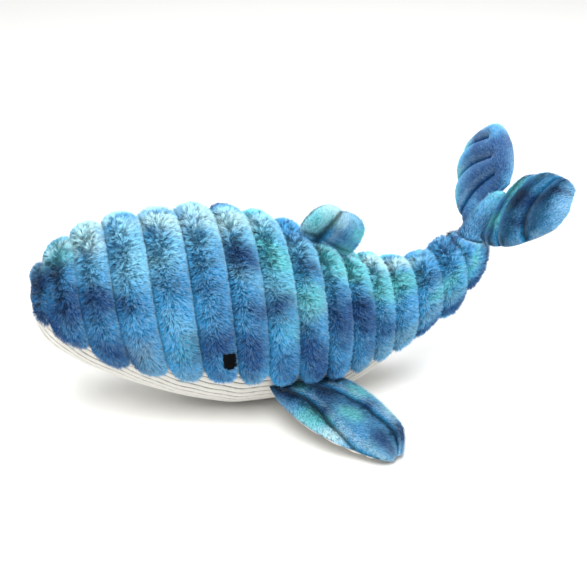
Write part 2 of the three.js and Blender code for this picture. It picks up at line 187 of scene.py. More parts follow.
def linear(hex_colour):
    """An sRGB hex colour as linear red, green, blue and alpha."""
    parts = [int(hex_colour[i : i + 2], 16) / 255 for i in (1, 3, 5)]
    curve = [p / 12.92 if p <= 0.04045 else ((p + 0.055) / 1.055) ** 2.4 for p in parts]
    return (*curve, 1)


def add(kind, inputs=None, **settings):
    """One node in the tree in hand, with its settings; a kind of shader node goes by its last
    name. An input is a value, an output or a node, which stands for its first output."""
    node = tree.nodes.new(kind if "Node" in kind else "ShaderNode" + kind)
    for key, value in settings.items():
        setattr(node, key, value)
    for key, value in (inputs or {}).items():
        if isinstance(value, bpy.types.Node):
            value = value.outputs[0]
        if isinstance(value, bpy.types.NodeSocket):
            tree.links.new(value, node.inputs[key])
        else:
            node.inputs[key].default_value = value
    return node


def finish_of(name, constants):
    """A new material, its tree and its shader's inputs, with these constants set on them."""
    material = bpy.data.materials.new(name)
    material.use_nodes = True
    tree = material.node_tree
    surface = tree.nodes["Principled BSDF"].inputs
    for key, value in constants.items():
        surface[key].default_value = value
    return material, tree, surface


# Knitted polyester backing of the plush, dyed with it: matt, deep navy, with a rib drawn about
# 4 mm wide, coarser than the real one so that it shows
backing, tree, surface = finish_of("knitted_backing", {"Roughness": 0.95, "Sheen Weight": 0.2})
place = add("TexCoord").outputs["Object"]
rib = add("TexNoise", {"Vector": place, "Scale": 260.0})
tint = add("Mix", {"Factor": rib, "A": linear("#12294d"), "B": linear("#1f477d")}, data_type="RGBA")
tree.links.new(tint.outputs["Result"], surface["Base Color"])

# Share of the body's length left free at a piece's ends, and depth of the filling
end_gap, core_depth = 0.0004, 0.0036


def core(name, first, last):
    """Filling from one seam to another, a little below the seams."""
    ends = seam_shares[first] + end_gap, seam_shares[last] - end_gap
    share = np.linspace(*ends, 6 * (last - first) + 1)
    angle = np.linspace(0, 2 * math.pi, 72, endpoint=False)
    made = shell(name, skin(share[:, None], angle[None, :], -core_depth))
    made.data.materials.append(backing)
    return made


def joint_place(seam):
    """Middle of the section at a seam."""
    share = seam_shares[seam]
    return (skin(share, 0, 0) + skin(share, math.pi, 0)) / 2


front_bend = joint_place(open_rolls), joint_place(open_rolls + 1)
rear_bend = joint_place(open_rolls + 2), joint_place(open_rolls + 3)
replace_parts(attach(core("body_core", 0, open_rolls), "body"), "body_fill")
tail_front = core("tail_core_front", open_rolls, open_rolls + 1)
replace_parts(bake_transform(tail_front), "tail_fill_front")
tail_middle = core("tail_core_middle", open_rolls + 1, open_rolls + 2)
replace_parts(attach(tail_middle, "tail_stock"), "tail_fill_middle")
tail_rear = core("tail_core_rear", open_rolls + 2, open_rolls + 3)
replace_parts(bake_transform(tail_rear), "tail_fill_rear")

# Quilted rolls
# Sixteen channels of brushed polyester plush, tie-dyed by hand in blues, each stuffed between two
# seams. The first thirteen end rounded over the belly, and the last three close round the tail.
roll_puff, pile_length = 0.013, 0.0043
# How far the seams stand proud, and the room left above the skin for the pile
cloth_lift, pile_room = 0.0012, 0.003
puff_shares = [0.62, 0.8, 0.92, 0.98, 1, 1, 1, 1, 1, 0.96, 0.9, 0.84, 0.8, 0.74, 0.7, 0.5]
fin_rolls = (8, 9, 10)
# Where each dye was dabbed on: roll, angle from the crown in half turns (negative on the left),
# reach down the roll in metres, and strength
dabs = {
    "denim": [
        (1, -0.2, 0.04, 0.9), (1, -0.5, 0.03, 0.9), (2, -0.36, 0.028, 1), (2, -0.56, 0.02, 0.8),
        (3, -0.36, 0.022, 0.7), (3, -0.55, 0.02, 0.7), (4, -0.36, 0.013, 0.45),
        (5, -0.3, 0.016, 0.4), (6, -0.3, 0.018, 0.5), (6, -0.46, 0.022, 0.9),
        (6, -0.6, 0.014, 0.6), (7, -0.2, 0.014, 0.85), (7, -0.36, 0.014, 0.5),
        (7, -0.49, 0.022, 1), (8, -0.34, 0.012, 0.5), (8, -0.54, 0.02, 0.7),
        (9, -0.05, 0.014, 0.45), (9, -0.2, 0.012, 0.55), (9, -0.5, 0.024, 1),
        (10, -0.34, 0.02, 1), (10, -0.43, 0.014, 0.7), (10, -0.57, 0.016, 0.5),
        (11, -0.34, 0.024, 1), (11, -0.5, 0.014, 0.5), (12, -0.42, 0.014, 0.5),
        (13, -0.42, 0.014, 0.4), (14, -0.25, 0.016, 0.55), (14, -0.7, 0.02, 0.9),
        (15, -0.1, 0.014, 0.6), (15, -0.66, 0.022, 1), (16, -0.08, 0.024, 1),
        (16, -0.75, 0.026, 1), (16, -0.35, 0.012, 0.5), (3, -0.66, 0.014, 0.6),
        (3, -0.5, 0.035, 0.6), (4, -0.47, 0.03, 0.55), (5, -0.52, 0.022, 0.4),
    ],
    "teal": [
        (2, -0.1, 0.018, 0.6), (5, -0.5, 0.013, 0.4), (8, -0.19, 0.022, 0.9),
        (8, -0.43, 0.011, 0.45), (9, -0.31, 0.015, 0.75), (10, -0.13, 0.024, 1),
        (11, -0.12, 0.02, 1), (12, -0.24, 0.02, 0.65), (13, -0.2, 0.02, 0.8),
        (14, -0.42, 0.014, 0.4), (15, -0.36, 0.016, 0.6), (16, -0.5, 0.018, 0.7),
    ],
    "icy": [
        (2, -0.03, 0.02, 0.8), (3, -0.06, 0.03, 1), (4, -0.02, 0.016, 0.5), (4, -0.5, 0.016, 0.4),
        (5, -0.03, 0.024, 0.85), (6, -0.02, 0.02, 0.8), (7, -0.03, 0.018, 0.9),
        (8, -0.02, 0.014, 0.3), (9, -0.33, 0.01, 0.5), (10, -0.09, 0.026, 0.9),
        (11, -0.08, 0.018, 0.7), (12, -0.02, 0.02, 1), (13, -0.02, 0.018, 0.9),
        (16, 0.0, 0.01, 0.3),
    ],
    "sky": [
        (3, -0.2, 0.02, 0.8), (4, -0.08, 0.03, 1), (4, -0.24, 0.02, 0.8), (5, -0.16, 0.022, 0.9),
        (5, -0.4, 0.014, 0.5), (6, -0.12, 0.018, 0.7), (7, -0.25, 0.012, 0.5),
        (8, -0.05, 0.02, 0.8), (9, -0.13, 0.014, 0.7), (14, -0.04, 0.014, 0.6),
        (12, -0.12, 0.014, 0.7), (7, -0.11, 0.018, 0.7), (8, -0.27, 0.02, 0.6),
    ],
    "steel": [
        (4, -0.56, 0.022, 0.9), (5, -0.6, 0.014, 0.8), (7, -0.6, 0.016, 0.8),
        (11, -0.57, 0.016, 0.8), (12, -0.54, 0.018, 0.8), (13, -0.54, 0.018, 0.8),
        (14, -0.54, 0.016, 0.8), (15, -0.52, 0.014, 0.6), (3, -0.62, 0.014, 0.6),
        (1, -0.05, 0.02, 0.4),
    ],
}
dyes = list(dabs)


def bell(value, middle, width):
    """A bell curve, 1 at its middle."""
    return np.exp(-(((value - middle) / width) ** 2))


def body_dye(share, angle):
    """How strong each dye is at a place on the rolls, the right side unlike the left."""
    dab_width, mean_radius, slanting, shifted = 0.018, 0.075, 0.4, 0.28
    strengths = np.zeros((len(dyes), *np.broadcast(share, angle).shape))
    turn = (angle + math.pi) % (2 * math.pi) - math.pi
    side = np.where(turn < 0, turn, -turn - shifted * np.sin(18 * share))
    for kind, dye in enumerate(dyes):
        for number, at, reach, full in dabs[dye]:
            middle = (seam_shares[number - 1] + seam_shares[number]) / 2
            along = (share - middle) * body_length / dab_width
            slant = slanting * np.sin(5.3 * number + 17 * at)
            down = (side - at * math.pi) * mean_radius / reach + slant * along
            strength = full * np.exp(-(along**2) - down**2)
            strengths[kind] = 1 - (1 - strengths[kind]) * (1 - strength)
    return strengths


def dye_fields(strengths, painted_light_and_shade, bare):
    """The strengths and the painted light and shade as two vectors on the skin, and nothing on so
    many bare columns after it.
    """
    painted_light_and_shade = np.broadcast_to(painted_light_and_shade, strengths[0].shape)
    pair = np.stack(strengths[:3], -1), np.stack([strengths[3], strengths[4], painted_light_and_shade], -1)
    empty = np.zeros((strengths.shape[1], bare, 3))
    return {key: np.concatenate([v, empty], 1) for key, v in zip(("dye", "tone"), pair)}


def comb_towards(loops, away, down):
    """How the pile lies on section loops, as vectors no longer than 1; upright where short."""
    steps = np.gradient(loops, axis=1), np.gradient(loops, axis=0)
    across, along = (
        v / np.maximum(np.linalg.norm(v, axis=-1, keepdims=True), 1e-9) for v in steps
    )
    lie = across * away[..., None] + along * down[..., None]
    return lie / np.maximum(np.linalg.norm(lie, axis=-1, keepdims=True), 1)


# Brushed polyester plush with 3 to 5 mm of pile: each bundle of fibres has painted shade at its
# root and a painted highlight at its tip, and the dyes bleed into each other in soft patches.
plush, tree, surface = finish_of(
    "tie_dyed_plush",
    {
        "Roughness": 0.85, "Specular IOR Level": 0.2, "Sheen Weight": 0.3,
        "Sheen Roughness": 0.4, "Sheen Tint": linear("#d2eef8"),
    },
)
place = add("TexCoord").outputs["Object"]
# Bleeding edges of the dyes, in patches of about 30 mm down to 3 mm
bleed = add("TexNoise", {"Vector": place, "Scale": 34.0, "Detail": 5.0, "Roughness": 0.62})
shift = {"Value": bleed, "From Min": 0.3, "From Max": 0.7, "To Min": -0.36, "To Max": 0.36}
shift = add("MapRange", shift)
dyed = add("Attribute", attribute_name="dye")
toned = add("Attribute", attribute_name="tone")
deep = add("SeparateXYZ", {"Vector": dyed.outputs["Vector"]})
light = add("SeparateXYZ", {"Vector": toned.outputs["Vector"]})
layers = [
    (light.outputs["X"], "#78cbee"),
    (light.outputs["Y"], "#5a99bf"),
    (deep.outputs["Z"], "#c2ecf4"),
    (deep.outputs["Y"], "#60d4de"),
    (deep.outputs["X"], "#044582"),
]
colour = linear("#2f9ad6")
for strength, dye_colour in layers:
    moved = add("Math", {0: strength, 1: shift}, operation="ADD")
    soft = {"Value": moved, "From Min": 0.05, "From Max": 1.0}
    soft = add("MapRange", soft, interpolation_type="SMOOTHSTEP")
    blended = {"Factor": soft, "A": colour, "B": linear(dye_colour)}
    colour = add("Mix", blended, data_type="RGBA").outputs["Result"]
tip = add("Attribute", attribute_name="tip").outputs["Fac"]
strand = add("Attribute", attribute_name="strand").outputs["Fac"]
# Shade of the roots, and clumps of fibres about 3 mm across
depth = add("MapRange", {"Value": tip, "From Max": 0.8, "To Min": 0.31, "To Max": 1.15})
clump = add("TexNoise", {"Vector": place, "Scale": 330.0, "Detail": 3.0, "Roughness": 0.6})
mottle = {"Value": clump, "From Min": 0.3, "From Max": 0.7, "To Min": 0.84, "To Max": 1.16}
mottle = add("MapRange", mottle)
# Painted shade along the seams, where the painted light and shade is negative
painted_seam_shade = {"Value": light.outputs["Z"], "From Min": -1.0, "From Max": 0.0, "To Min": 0.3}
painted_seam_shade = add("MapRange", painted_seam_shade)
shade = depth
for factor in (mottle, painted_seam_shade):
    shade = add("Math", {0: shade, 1: factor}, operation="MULTIPLY")
shaded = add("VectorMath", {0: colour, "Scale": shade}, operation="SCALE")
# Painted highlight on the tips, more on some bundles than on others, most along the rear rim of
# each roll and least in the deepest dye
uneven_tip_highlight = add("Math", {0: strand, 1: strand}, operation="MULTIPLY")
paled = {0: uneven_tip_highlight, 1: 0.66, 2: light.outputs["Z"]}
paled = add("Math", paled, operation="MULTIPLY_ADD", use_clamp=True)
spared = add("MapRange", {"Value": soft, "To Min": 1.0, "To Max": 0.4})
at_tips = paled
for factor in (tip, spared):
    at_tips = add("Math", {0: at_tips, 1: factor}, operation="MULTIPLY")
tipped = add("Mix", {"Factor": at_tips, "A": shaded, "B": linear("#c6e8f4")}, data_type="RGBA")
tree.links.new(tipped.outputs["Result"], surface["Base Color"])

# Pile: points scattered over the skin, each with a narrow tapered bundle of fibres that leans
# with the lie of the pile. A real fibre is far finer; a bundle is drawn 0.5 mm wide to show.
tree = pile_tree = bpy.data.node_groups.new("plush_pile", "GeometryNodeTree")
sockets = [
    ("Skin", "Geometry", None),
    ("Bundles per square metre", "Float", 2500000.0),
    ("Pile length", "Float", pile_length),
    ("Bundle width", "Float", 0.00052),
    ("Lean", "Float", math.radians(46)),
    ("Tangle", "Float", 1.9),
    ("Seed", "Int", 1),
    ("Fibre", "Material", plush),
]
for name, kind, default in sockets:
    socket = tree.interface.new_socket(name, in_out="INPUT", socket_type="NodeSocket" + kind)
    if default is not None:
        socket.default_value = default
tree.interface.new_socket("Pile", in_out="OUTPUT", socket_type="NodeSocketGeometry")
given = add("NodeGroupInput").outputs
full_length = given["Pile length"]
pile, comb, nap = (
    add("GeometryNodeInputNamedAttribute", {"Name": name}, data_type=kind)
    for name, kind in (("pile", "FLOAT"), ("comb", "FLOAT_VECTOR"), ("nap", "FLOAT_VECTOR"))
)
# Nothing grows where the field is nearly nought
grown = add("Math", {0: pile, 1: 0.05}, operation="GREATER_THAN")
thick = add("Math", {0: grown, 1: given["Bundles per square metre"]}, operation="MULTIPLY")
spread = {"Mesh": given["Skin"], "Density": thick, "Seed": given["Seed"]}
points = spread = add("GeometryNodeDistributePointsOnFaces", spread)
chance = add("FunctionNodeRandomValue", {"Seed": 5}, data_type="FLOAT")
kept = ("nap", spread.outputs["Normal"], "FLOAT_VECTOR"), ("strand", chance.outputs[1], "FLOAT")
for name, value, kind in kept:
    points = {"Geometry": points, "Name": name, "Value": value}
    points = add("GeometryNodeStoreNamedAttribute", points, data_type=kind, domain="POINT")
at = add("GeometryNodeInputPosition")
# Fibres cling together in clumps of about 3 mm
cling = add("TexNoise", {"Vector": at, "Scale": 290.0, "Detail": 2.0, "Roughness": 0.7})
centred = add("VectorMath", {0: cling.outputs["Color"], 1: (0.5, 0.5, 0.5)}, operation="SUBTRACT")
tangled = add("VectorMath", {0: centred, "Scale": given["Tangle"]}, operation="SCALE")
upright = add("Math", {0: given["Lean"]}, operation="COSINE")
lying = add("Math", {0: given["Lean"]}, operation="SINE")
rise = add("VectorMath", {0: nap, "Scale": upright}, operation="SCALE")
lie = add("VectorMath", {0: comb, "Scale": lying}, operation="SCALE")
leaning = add("VectorMath", {0: rise, 1: lie}, operation="ADD")
heading = add("VectorMath", {0: leaning, 1: tangled}, operation="ADD")
turned = {"Primary Axis": heading, "Secondary Axis": nap}
turned = add("FunctionNodeAxesToRotation", turned, primary_axis="Y", secondary_axis="Z")
# One bundle: it narrows to about a fifth at its tip and droops by a sixth of its length
narrowing, drooping = -0.78, -0.16
blade = {"Size X": given["Bundle width"], "Size Y": full_length, "Vertices X": 2, "Vertices Y": 2}
blade = add("GeometryNodeMeshGrid", blade)
corner = add("SeparateXYZ", {0: at})
share = add("Math", {0: corner.outputs["Y"], 1: full_length}, operation="DIVIDE")
height = add("Math", {0: share, 1: 0.5}, operation="ADD")
taper = add("Math", {0: height, 1: narrowing, 2: 1.0}, operation="MULTIPLY_ADD")
narrow = add("Math", {0: corner, 1: taper}, operation="MULTIPLY")
along = add("Math", {0: height, 1: full_length}, operation="MULTIPLY")
squared = add("Math", {0: height, 1: height}, operation="MULTIPLY")
drop = add("Math", {0: squared, 1: full_length}, operation="MULTIPLY")
droop = add("Math", {0: drop, 1: drooping}, operation="MULTIPLY")
shaped = add("CombineXYZ", {"X": narrow, "Y": along, "Z": droop})
sided = add("Math", {0: corner, 1: 0.0}, operation="GREATER_THAN")
bundle = blade
for name, value in (("tip", height), ("side", sided)):
    bundle = {"Geometry": bundle, "Name": name, "Value": value}
    bundle = add("GeometryNodeStoreNamedAttribute", bundle, data_type="FLOAT", domain="POINT")
bent = add("GeometryNodeSetPosition", {"Geometry": bundle, "Position": shaped})
shortest, longest = 0.72, 1.22
uneven = {2: shortest, 3: longest, "Seed": 9}
uneven = add("FunctionNodeRandomValue", uneven, data_type="FLOAT")
length = add("Math", {0: uneven.outputs[1], 1: pile}, operation="MULTIPLY")
size = add("CombineXYZ", {"X": 1.0, "Y": length, "Z": length})
planted = {"Points": points, "Instance": bent, "Rotation": turned, "Scale": size}
planted = add("GeometryNodeInstanceOnPoints", planted)
real = add("GeometryNodeRealizeInstances", {"Geometry": planted})
fibred = add("GeometryNodeSetMaterial", {"Geometry": real, "Material": given["Fibre"]})
both = add("GeometryNodeJoinGeometry")
tree.links.new(fibred.outputs[0], both.inputs[0])
tree.links.new(given["Skin"], both.inputs[0])
add("NodeGroupOutput", {"Pile": both})
bundle_points = 4
# Shares of the nap's and the bundle's own direction in the shading, and heights on the map
nap_part, own_part, bundle_top, skin_bottom = 0.68, 0.32, 0.62, 0.66


def with_pile(skin_object, seed, material=plush, **sizes):
    """Grows the pile on a skin and turns both into one plain mesh, shaded as soft cloth."""
    grow = skin_object.modifiers.new("pile", "NODES")
    grow.node_group = pile_tree
    wanted = {"Seed": seed, "Fibre": material, **{k.replace("_", " "): v for k, v in sizes.items()}}
    for item in pile_tree.interface.items_tree:
        if item.in_out == "INPUT" and item.name in wanted:
            grow[item.identifier] = wanted[item.name]
    graph = bpy.context.evaluated_depsgraph_get()
    mesh = bpy.data.meshes.new_from_object(skin_object.evaluated_get(graph), depsgraph=graph)
    skin_object.modifiers.remove(grow)
    skin_points = len(skin_object.data.vertices)
    skin_object.data = mesh
    mesh.name = skin_object.name
    count = len(mesh.vertices)

    def read(name, width):
        found = np.zeros(count * width, np.float32)
        data = mesh.attributes[name].data
        data.foreach_get("value" if width == 1 else "vector", found)
        return found.reshape(count, width)

    # Shading normals between those of the cloth and those of the bundles
    nap, own = read("nap", 3), np.zeros(count * 3, np.float32)
    mesh.vertex_normals.foreach_get("vector", own)
    own = own.reshape(count, 3)
    grown = np.linalg.norm(nap, axis=1) > 0.5
    own[grown] = nap_part * nap[grown] + own_part * own[grown]
    own /= np.maximum(np.linalg.norm(own, axis=1, keepdims=True), 1e-6)
    mesh.normals_split_custom_set_from_vertices(own.tolist())
    # On the map the skin has the upper third, and each bundle a cell of its own below it
    vertex = np.zeros(len(mesh.loops), np.int32)
    mesh.loops.foreach_get("vertex_index", vertex)
    on_map = np.zeros(len(vertex) * 2, np.float32)
    mesh.uv_layers["OFBake"].uv.foreach_get("vector", on_map)
    on_map = on_map.reshape(-1, 2)
    first = np.argmax(grown)
    ids = (vertex - first) // bundle_points
    bundles = (count - skin_points) // bundle_points
    columns = math.ceil(math.sqrt(bundles / bundle_top))
    rows = math.ceil(bundles / columns)
    tip, side = read("tip", 1)[vertex, 0], read("side", 1)[vertex, 0]
    cell_x = (ids % columns + 0.15 + 0.7 * side) / columns
    cell_y = bundle_top * (ids // columns + 0.1 + 0.8 * tip) / rows
    in_bundle = grown[vertex]
    on_map[:, 1] = skin_bottom + (1 - skin_bottom) * on_map[:, 1]
    on_map[in_bundle] = np.stack([cell_x, cell_y], 1)[in_bundle]
    mesh.uv_layers["OFBake"].uv.foreach_set("vector", on_map.astype(np.float32).ravel())
    return skin_object


section_steps = 16
# How far down its reach each open roll ends, then the rounded end and the tuck under the
# belly's edge, as shares of the reach
end_reaches = [0.88, 0.94, 0.955, 0.955, 0.955, 0.955, 0.97, 1, 1, 0.99, 0.97, 0.96, 0.96]
end_rounding, tuck_start, tuck_length = 0.11, 0.105, 0.045
# Gaps at seams and nose, depths of valleys and backing, less in the tuck, the nose's hollow
seam_gap, nose_gap = 0.00015, 0.0024
valley_depth, valley_tuck, backing_depth, backing_tuck = 0.0018, 0.0026, 0.003, 0.0035
hollow_share, hollow_depth = 0.0025, 0.0068
# The dip in the crests under the fin: share of the puff, and its reach
fin_dip, fin_dip_reach = 0.66, 0.085
section_roundness = 0.66


def roll(index):
    """One stuffed channel: its skin across from seam to seam, and the backing below it."""
    closed = index >= open_rolls
    if closed:
        reach = np.linspace(-1, 1, 88, endpoint=False)[:, None]
        full, tuck = np.ones_like(reach), np.zeros_like(reach)
    else:
        end_reach = end_reaches[index]
        step = np.linspace(-1, 1, 140)[:, None]
        reach = end_reach * (0.55 * step + 0.45 * np.sin(step * math.pi / 2))
        ending = np.clip(1 - (end_reach - np.abs(reach)) / end_rounding, 0, 1)
        full = np.sqrt(np.maximum(1 - ending**2, 0.0004))
        tuck = np.clip((np.abs(reach) - end_reach + tuck_start) / tuck_length, 0, 1)
    front = seam_shares[index] + (nose_gap if index == 0 else seam_gap) / body_length
    rear = seam_shares[index + 1] - seam_gap / body_length
    middle, width = (front + rear) / 2, (rear - front) * 0.985
    turn = np.linspace(0, math.pi, section_steps + 1)[None, :]
    share = middle - np.cos(turn) / 2 * width * full
    angle = reach * (math.pi if closed else reach_at(share))
    crest = roll_puff * puff_shares[index] + cloth_lift - pile_room
    if index in fin_rolls:
        crest = crest - roll_puff * fin_dip * bell(reach, 0, fin_dip_reach)
    low = -valley_depth + valley_tuck * tuck
    # Stuffing that settled unevenly along the channel, by up to a millimetre
    uneven = 0.0006 * np.sin(19 * angle + 2 * index) + 0.0004 * np.sin(43 * angle + 90 * share)
    rounded = (crest - low) * np.sin(turn) ** section_roundness
    outer = skin(share, angle, low + rounded * full + uneven * np.sin(turn) * full)
    below = middle + np.array([0.5, 0, -0.5])[None, :] * width * full
    inner_angle = reach * (math.pi + 0 * below if closed else reach_at(below))
    inner = skin(below, inner_angle, -backing_depth + backing_tuck * tuck + 0 * below)
    if index == 0:
        hollow = np.full((len(reach), 1), hollow_share)
        inner[:, 2:] = skin(hollow, angle[:, :1], -hollow_depth)
    bare = inner.shape[1]
    # The pile lies away from the crest, a little towards the tail and down each side
    away, down = 0.35 - 0.9 * np.cos(turn) + 0 * share, 0.45 * np.tanh(3 * reach) + 0 * share
    comb = comb_towards(outer, away, down)
    # It is short beside the seams and at the ends, and there is none on the seams
    pile = np.clip((np.sin(turn) - 0.12) / 0.6, 0.24, 1) * np.clip(full * 3, 0.35, 1)
    pile = pile * np.clip(np.sin(turn) * 9, 0, 1)
    # A painted highlight along a pale rim behind the crest, and painted shade in both valleys
    painted_light_and_shade = 0.8 * bell(turn / math.pi, 0.86, 0.06) * (1 - 0.5 * np.abs(reach))
    painted_light_and_shade = painted_light_and_shade - 1.0 * bell(turn, 0, 0.62) - 0.9 * bell(math.pi - turn, 0, 0.16)
    made = shell(
        f"roll_{index + 1:02d}",
        np.concatenate([outer, inner], 1),
        joined=closed,
        pile=np.pad(pile, ((0, 0), (0, bare))),
        comb=np.pad(comb, ((0, 0), (0, bare), (0, 0))),
        **dye_fields(body_dye(share, angle), painted_light_and_shade, bare),
    )
    made.data.materials.append(plush)
    made = with_pile(made, seed=index + 1)
    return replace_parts(made, f"rib_{index + 1:02d}")


for index in range(len(seam_shares) - 1):
    made = roll(index)
    if index == open_rolls:
        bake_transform(made)
    elif index == open_rolls + 1:
        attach(made, "tail_stock")
    elif index == open_rolls + 2:
        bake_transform(made)
    else:
        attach(made, "body")

# Belly panel
# Off-white cotton corduroy with wide wales that run from chin to tail, cut in one piece
# and sewn in under the rounded ends of the rolls. It is flat where the whale rests on it.
wale_pitch, wale_depth, wale_roundness = 0.0084, 0.002, 0.55
belly_edge_share, belly_thickness = 0.91, 0.0027
# Under the nose the panel reaches further up and bulges: shares of reach and length, metres
chin_reach, chin_length, chin_bulge, bulge_length = 0.14, 0.04, 0.003, 0.03

# Cotton corduroy: soft cut pile on rounded wales, and the bare grooves between them greyer, partly
# from the bare weave and partly as painted shade. Lint is drawn about 1 mm across, and the grooves'
# edges are ragged every 6 mm or so.
corduroy, tree, surface = finish_of("cotton_corduroy", {"Roughness": 0.92, "Sheen Weight": 0.3})
place = add("TexCoord").outputs["Object"]
stretched = add("Mapping", {"Vector": place, "Scale": (0.6, 1.0, 1.0)})
lint = add("TexNoise", {"Vector": stretched, "Scale": 900.0, "Detail": 3.0, "Roughness": 0.65})
ragged = add("TexNoise", {"Vector": place, "Scale": 160.0, "Detail": 2.0})
wale = add("Attribute", attribute_name="wale").outputs["Fac"]
ragged_wale = add("Math", {0: ragged, 1: 0.5, 2: wale}, operation="MULTIPLY_ADD")
ridge = {"Value": ragged_wale, "From Min": 0.45, "From Max": 1.0}
ridge = add("MapRange", ridge, interpolation_type="SMOOTHSTEP")
# The grooves' dark grey is partly the bare weave and partly painted shade
tint = {"Factor": ridge, "A": linear("#6a6862"), "B": linear("#dddbd4")}
tint = add("Mix", tint, data_type="RGBA")
flecked = {"Value": lint, "From Min": 0.25, "From Max": 0.75, "To Min": 0.86, "To Max": 1.04}
flecked = add("MapRange", flecked)
shaded = add("VectorMath", {0: tint.outputs["Result"], "Scale": flecked}, operation="SCALE")
tree.links.new(shaded.outputs[0], surface["Base Color"])
bump = add("Bump", {"Height": lint, "Strength": 0.5, "Distance": 0.0006})
tree.links.new(bump.outputs[0], surface["Normal"])

along = np.linspace(seam_shares[0] + end_gap, seam_shares[open_rolls] - end_gap, 110)
column = np.linspace(-1, 1, 331)
edge_share = belly_edge_share - chin_reach * bell(along, 0, chin_length)
half_arc = math.pi - reach_at(along) * edge_share
angle = math.pi + column[None, :] * half_arc[:, None]
bulge = chin_bulge * bell(along[:, None], 0, bulge_length)
outside = skin(along[:, None], angle, bulge)
# The wales keep their pitch along the cloth and wander a little
step = np.linalg.norm(np.diff(outside, axis=1), axis=-1)
arc = np.concatenate([np.zeros((len(along), 1)), np.cumsum(step, 1)], 1)
arc -= arc[:, [len(column) // 2]]
wander = 0.12 * np.sin(along * 31) + 0.08 * np.sin(along * 77 + 1)
phase = arc / wale_pitch + wander[:, None]
wale_height = np.abs(np.cos(math.pi * phase)) ** wale_roundness
edge_fade = np.clip((1 - np.abs(column)) * 40, 0, 1)[None, :]
ridged = skin(along[:, None], angle, bulge - wale_depth * (1 - wale_height * edge_fade))
backed = skin(along[:, None], angle[:, ::-8], -belly_thickness)
belly = shell(
    "belly_panel_corduroy",
    np.concatenate([ridged, backed], 1),
    wale=np.concatenate([wale_height, np.zeros(backed.shape[:2])], 1),
)
belly.data.materials.append(corduroy)
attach(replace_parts(belly, "belly_panel"), "body")

# Eyes
# Two small squares of black wool felt, cut by hand with uneven edges and sewn through the pile
# on the sixth roll. A short nap stands on them.
eye_roll, eye_width, eye_height, eye_steps = 5, 0.012, 0.0128, 19
# Its place as shares of the roll's width and reach, and the felt's faces above the roll
eye_across, eye_down, felt_faces = 0.74, 0.8, (0.0013, -0.0014)
eye_nap = {"Pile_length": 0.0017, "Bundle_width": 0.0006, "Bundles_per_square_metre": 4e6}

# Black wool felt: quite matt, with tufts about 1 mm across that hardly show
felt, tree, surface = finish_of("black_wool_felt", {"Roughness": 1.0, "Specular IOR Level": 0.1})
place = add("TexCoord").outputs["Object"]
wool = add("TexNoise", {"Vector": place, "Scale": 1100.0, "Detail": 3.0})
tint = {"Factor": wool, "A": linear("#020304"), "B": linear("#0e1114")}
tint = add("Mix", tint, data_type="RGBA")
tree.links.new(tint.outputs["Result"], surface["Base Color"])


def eye(side, name):
    """A square of felt on the roll's puffed side, on the left for side -1."""
    steps = np.linspace(-1, 1, eye_steps)
    sideways, downward = np.meshgrid(steps, steps, indexing="ij")
    ragged = 1 + 0.05 * np.sin(7 * downward + 1) + 0.04 * np.sin(13 * sideways + 2 * downward)
    front, rear = seam_shares[eye_roll], seam_shares[eye_roll + 1]
    centre = front + (rear - front) * eye_across
    share = centre + sideways * ragged * (1 - 0.1 * downward**2) * eye_width / 2 / body_length
    crown, keel = outline_at(centre)[:2]
    tall = (crown - keel) * body_height / 2 + roll_puff
    drop = downward * ragged * (1 - 0.1 * sideways**2) * eye_height / 2
    turn = side * (eye_down * reach_at(centre) + drop / tall)
    across = np.clip((share - front) / (rear - front), 0, 1)
    puff = roll_puff * np.sin(np.arccos(1 - 2 * across)) + cloth_lift
    faces = [skin(share, turn, puff + lift) for lift in felt_faces]
    loops = np.concatenate([faces[0], faces[1][:, ::-1]], 1)
    top = np.concatenate([np.ones_like(share), np.zeros_like(share)], 1)
    away = 0.6 * np.sin(9 * share.mean() + np.indices(top.shape)[0])
    lie = comb_towards(loops, away, np.ones_like(top))
    undyed = dye_fields(np.zeros((len(dyes), *top.shape)), 0, 0)
    made = shell(name, loops, pile=top, comb=lie, **undyed)
    made.data.materials.append(felt)
    made = with_pile(made, 31, felt, **eye_nap)
    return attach(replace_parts(made, name), "body")


eye(-1, "eye_left").name = "eye_left_felt"
eye(1, "eye_right").name = "eye_right_felt"

# Dorsal fin
# Two plush panels sewn round a thin filling and through it, which parts the fin in two lobes.
# It is sewn on along the dip of the ninth to eleventh rolls and leans back.
channel_depth, limb_seam = 0.82, 0.0034
# Room left above a limb's plush for its pile, and the cloth's least thickness
limb_inset, limb_least = 0.0022, 0.0007
limb_fur = {"Bundles_per_square_metre": 3.6e6, "Pile_length": 0.0029, "Bundle_width": 0.00044}
limb_fur["Tangle"] = 0.8


def unit(vector):
    """The vector's direction, of length 1."""
    vector = np.array(vector, float)
    return vector / np.linalg.norm(vector)


def limb_edge(limb, s, v):
    """Metres from a limb's middle line at shares along it and across it."""
    lead, trail, _ = np.moveaxis(curve_through(limb["outline"])(s), -1, 0)
    return (-lead + (trail + lead) * (v + 1) / 2) * limb["width"] / 2


def limb_points(limb, s, v, height):
    """Points of a limb from shares along it and across it, and heights above its middle."""
    forward, root_edge = unit(limb["along"]), unit(limb["across"])
    slant = root_edge @ forward
    sideways = unit(root_edge - slant * forward)
    upward = np.cross(forward, sideways) * limb["hand"]
    skew = slant / math.sqrt(1 - slant**2)
    edge = limb_edge(limb, s, v)
    sag, bow, camber = (limb.get(key, 0) for key in ("sag", "bow", "camber"))
    ahead = s * limb["length"] + (skew * edge - sag * v**2) * (1 - s)
    point = np.array(limb["root"]) + ahead[..., None] * forward
    point = point + (edge + bow * s**2)[..., None] * sideways
    return point + (camber * s**2 + height)[..., None] * upward


